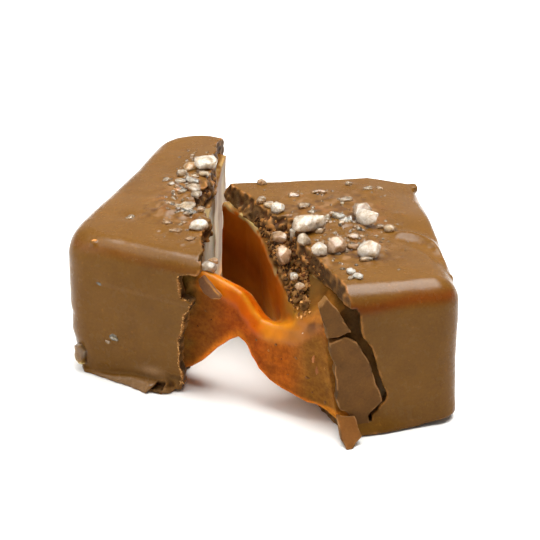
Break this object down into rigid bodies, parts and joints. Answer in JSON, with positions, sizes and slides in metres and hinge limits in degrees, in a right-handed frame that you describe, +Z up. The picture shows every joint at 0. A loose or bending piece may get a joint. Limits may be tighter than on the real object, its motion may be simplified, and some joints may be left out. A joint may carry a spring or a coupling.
{
  "type": "salted caramel candy",
  "caption": "Chocolate-coated caramel square broken across the middle and pulled apart, its halves still joined by a stretched web of soft caramel, with coarse salt on top.",
  "frame": {"origin": "middle of the bounding box, on the underside that stands on the table", "axes": "+Z up, +X from the smaller half to the larger one, -Y the front, where the caramel web is"},
  "size_m": [0.0424, 0.043, 0.0175],
  "materials": {
    "chocolate": "satin milk chocolate, fine grained",
    "caramel": "soft translucent caramel, glossy where stretched",
    "salt": "frosted translucent crystals"
  },
  "bodies": {
    "root": {"left_shell": "chocolate", "right_shell": "chocolate", "chip_upper": "chocolate", "chip_lower": "chocolate", "chip_tip": "chocolate", "flake": "chocolate", "caramel": "caramel"}
  },
  "joints": []
}
